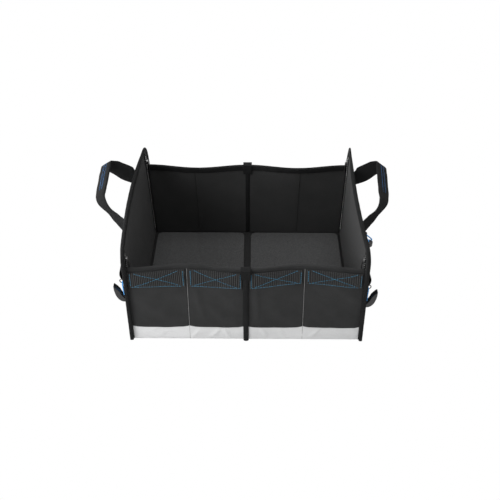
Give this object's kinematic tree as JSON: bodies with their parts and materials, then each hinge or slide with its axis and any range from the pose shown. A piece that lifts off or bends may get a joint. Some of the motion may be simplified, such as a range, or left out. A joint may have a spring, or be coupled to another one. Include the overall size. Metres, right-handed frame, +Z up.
{
  "type": "car storage box",
  "caption": "Open-topped folding fabric storage box for a car boot, with stiff side panels, floor boards, webbing handles, corner zips and claw hooks.",
  "frame": {"origin": "on the floor under the middle of the box, halfway between the side panels", "axes": "+Z up, +X to the right across the width, the pocketed front faces -Y"},
  "size_m": [0.6394, 0.3966, 0.2973],
  "materials": {
    "cloth": "coated woven polyester, black",
    "cloth_dark": "woven polyester, dark",
    "ribbed_webbing": "ribbed webbing with blue stitching",
    "felt": "needled felt, dark grey",
    "kick_fabric": "coated fabric, light grey",
    "webbing": "woven webbing, black",
    "grey_webbing": "woven webbing, light grey",
    "mesh": "elastic mesh, black",
    "elastic": "braided elastic, blue",
    "plastic": "moulded plastic, black",
    "metal": "plated metal"
  },
  "bodies": {
    "box": {"base_sheet": "cloth_dark", "side_panel_left": "cloth", "side_panel_right": "cloth", "side_binding_left": "webbing", "side_binding_right": "webbing", "front_wall_left": "cloth", "front_wall_right": "cloth", "back_wall_left": "cloth", "back_wall_right": "cloth", "front_rim_binding": "webbing", "back_rim_binding": "webbing", "front_centre_binding": "webbing", "back_centre_binding": "webbing", "front_rim_tab": "webbing", "back_rim_tab": "webbing", "kick_band_front_left": "kick_fabric", "kick_band_front_right": "kick_fabric", "kick_band_back": "kick_fabric", "front_facing_1": "cloth", "front_facing_2": "cloth", "front_facing_3": "cloth", "front_facing_4": "cloth", "front_band_1": "ribbed_webbing", "front_band_2": "ribbed_webbing", "front_band_3": "ribbed_webbing", "front_band_4": "ribbed_webbing", "side_pocket_left": "mesh", "side_pocket_right": "mesh", "zip_chain_front_left": "metal", "zip_chain_front_right": "metal", "zip_chain_back_left": "metal", "zip_chain_back_right": "metal", "hook_anchor_left": "webbing", "hook_keeper_left": "grey_webbing", "hook_ring_left": "plastic", "hook_elastic_left": "elastic", "hook_anchor_right": "webbing", "hook_keeper_right": "grey_webbing", "hook_ring_right": "plastic", "hook_elastic_right": "elastic", "drawcord_tab": "webbing", "drawcord": "elastic", "cord_lock": "plastic", "cord_lock_spring": "metal"},
    "floor_board_left": {"floor_board_left": "felt"},
    "floor_board_right": {"floor_board_right": "felt"},
    "handle_left": {"handle_left": "webbing"},
    "handle_right": {"handle_right": "webbing"},
    "hook_left": {"hook_left": "plastic"},
    "hook_right": {"hook_right": "plastic"},
    "zip_slider_front_left": {"zip_slider_front_left": "metal"},
    "zip_pull_front_left": {"zip_pull_front_left": "plastic"},
    "zip_slider_front_right": {"zip_slider_front_right": "metal"},
    "zip_pull_front_right": {"zip_pull_front_right": "plastic"},
    "zip_slider_back_left": {"zip_slider_back_left": "metal"},
    "zip_pull_back_left": {"zip_pull_back_left": "plastic"},
    "zip_slider_back_right": {"zip_slider_back_right": "metal"},
    "zip_pull_back_right": {"zip_pull_back_right": "plastic"},
    "cord_lock_button": {"cord_lock_button": "plastic"}
  },
  "joints": [
    {"name": "floor_left_lift", "type": "hinge", "parent": "box", "child": "floor_board_left", "pos_m": [-0.239, 0, 0.0027], "axis": [0, -1, 0], "range_deg": [0, 32]},
    {"name": "floor_right_lift", "type": "hinge", "parent": "box", "child": "floor_board_right", "pos_m": [0.239, 0, 0.0027], "axis": [0, 1, 0], "range_deg": [0, 32]},
    {"name": "handle_left_swing", "type": "hinge", "parent": "box", "child": "handle_left", "pos_m": [-0.25778, 0, 0.24], "axis": [0, 1, 0], "range_deg": [-72, 25]},
    {"name": "handle_right_swing", "type": "hinge", "parent": "box", "child": "handle_right", "pos_m": [0.24738, 0, 0.24], "axis": [0, -1, 0], "range_deg": [-72, 25]},
    {"name": "hook_left_tip", "type": "hinge", "parent": "box", "child": "hook_left", "pos_m": [-0.25814, -0.177, 0.1165], "axis": [0, -1, 0], "range_deg": [0, 40]},
    {"name": "hook_right_tip", "type": "hinge", "parent": "box", "child": "hook_right", "pos_m": [0.25823, -0.177, 0.1025], "axis": [0, 1, 0], "range_deg": [0, 40]},
    {"name": "zip_front_left_slide", "type": "slide", "parent": "box", "child": "zip_slider_front_left", "axis": [0.0264, 0, 0.9997], "range_m": [-0.192, 0]},
    {"name": "zip_pull_front_left_tip", "type": "hinge", "parent": "zip_slider_front_left", "child": "zip_pull_front_left", "pos_m": [-0.24095, -0.1757, 0.2385], "axis": [0, -1, 0], "range_deg": [0, 100]},
    {"name": "zip_front_right_slide", "type": "slide", "parent": "box", "child": "zip_slider_front_right", "axis": [-0.0369, 0, 0.9993], "range_m": [-0.192, 0]},
    {"name": "zip_pull_front_right_tip", "type": "hinge", "parent": "zip_slider_front_right", "child": "zip_pull_front_right", "pos_m": [0.23878, -0.1757, 0.2385], "axis": [0, 1, 0], "range_deg": [0, 100]},
    {"name": "zip_back_left_slide", "type": "slide", "parent": "box", "child": "zip_slider_back_left", "axis": [-0.0086, 0, 1], "range_m": [-0.192, 0]},
    {"name": "zip_pull_back_left_tip", "type": "hinge", "parent": "zip_slider_back_left", "child": "zip_pull_back_left", "pos_m": [-0.24038, 0.1657, 0.2385], "axis": [0, -1, 0], "range_deg": [0, 100]},
    {"name": "zip_back_right_slide", "type": "slide", "parent": "box", "child": "zip_slider_back_right", "axis": [-0.0067, 0, 1], "range_m": [-0.192, 0]},
    {"name": "zip_pull_back_right_tip", "type": "hinge", "parent": "zip_slider_back_right", "child": "zip_pull_back_right", "pos_m": [0.23721, 0.1657, 0.2385], "axis": [0, 1, 0], "range_deg": [0, 100]},
    {"name": "cord_lock_press", "type": "slide", "parent": "box", "child": "cord_lock_button", "axis": [0, 0, 1], "range_m": [0, 0.002], "stiffness_N_per_m": 400, "deforming": ["cord_lock_spring"]}
  ]
}
